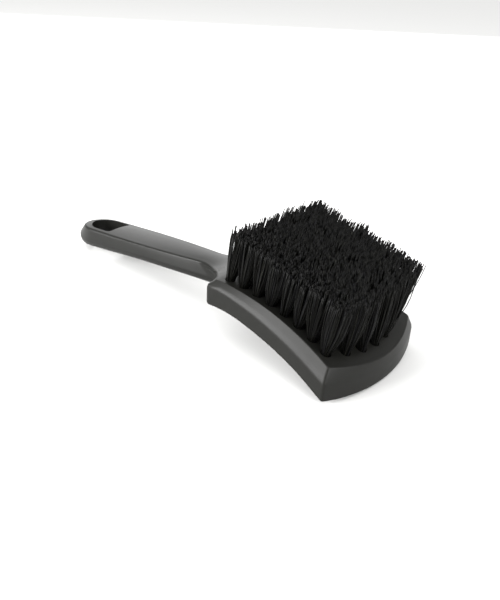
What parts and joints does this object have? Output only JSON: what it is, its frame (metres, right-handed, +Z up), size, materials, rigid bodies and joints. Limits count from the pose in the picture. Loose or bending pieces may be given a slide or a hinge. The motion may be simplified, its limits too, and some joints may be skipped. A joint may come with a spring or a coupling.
{
  "type": "wheel brush",
  "caption": "Hand brush with an arched, arc-fronted moulded head, a dense field of stiff filament tufts and a one-piece handle ending in a hanging hole.",
  "frame": {"origin": "centre of the footprint, on the surface the brush lies on with its filaments up", "axes": "+X along the handle towards the head, +Y across the head, +Z up, the way the filaments point"},
  "size_m": [0.2242, 0.0736, 0.0603],
  "materials": {
    "block_plastic": "black moulded polypropylene with a fine satin texture",
    "filament": "black stiff nylon filament, cut ends"
  },
  "bodies": {
    "root": {"brush_block": "block_plastic", "tuft_1a": "filament", "tuft_1b": "filament", "tuft_1c": "filament", "tuft_1d": "filament", "tuft_1e": "filament", "tuft_1f": "filament", "tuft_1g": "filament", "tuft_2a": "filament", "tuft_2b": "filament", "tuft_2c": "filament", "tuft_2d": "filament", "tuft_2e": "filament", "tuft_2f": "filament", "tuft_2g": "filament", "tuft_3a": "filament", "tuft_3b": "filament", "tuft_3c": "filament", "tuft_3d": "filament", "tuft_3e": "filament", "tuft_3f": "filament", "tuft_3g": "filament", "tuft_4a": "filament", "tuft_4b": "filament", "tuft_4c": "filament", "tuft_4d": "filament", "tuft_4e": "filament", "tuft_4f": "filament", "tuft_4g": "filament", "tuft_5a": "filament", "tuft_5b": "filament", "tuft_5c": "filament", "tuft_5d": "filament", "tuft_5e": "filament", "tuft_5f": "filament", "tuft_5g": "filament", "tuft_6a": "filament", "tuft_6b": "filament", "tuft_6c": "filament", "tuft_6d": "filament", "tuft_6e": "filament", "tuft_6f": "filament", "tuft_6g": "filament", "tuft_7a": "filament", "tuft_7b": "filament", "tuft_7c": "filament", "tuft_7d": "filament", "tuft_7e": "filament", "tuft_7f": "filament", "tuft_7g": "filament", "tuft_8a": "filament", "tuft_8b": "filament", "tuft_8c": "filament", "tuft_8d": "filament", "tuft_8e": "filament", "tuft_8f": "filament", "tuft_8g": "filament"}
  },
  "joints": []
}
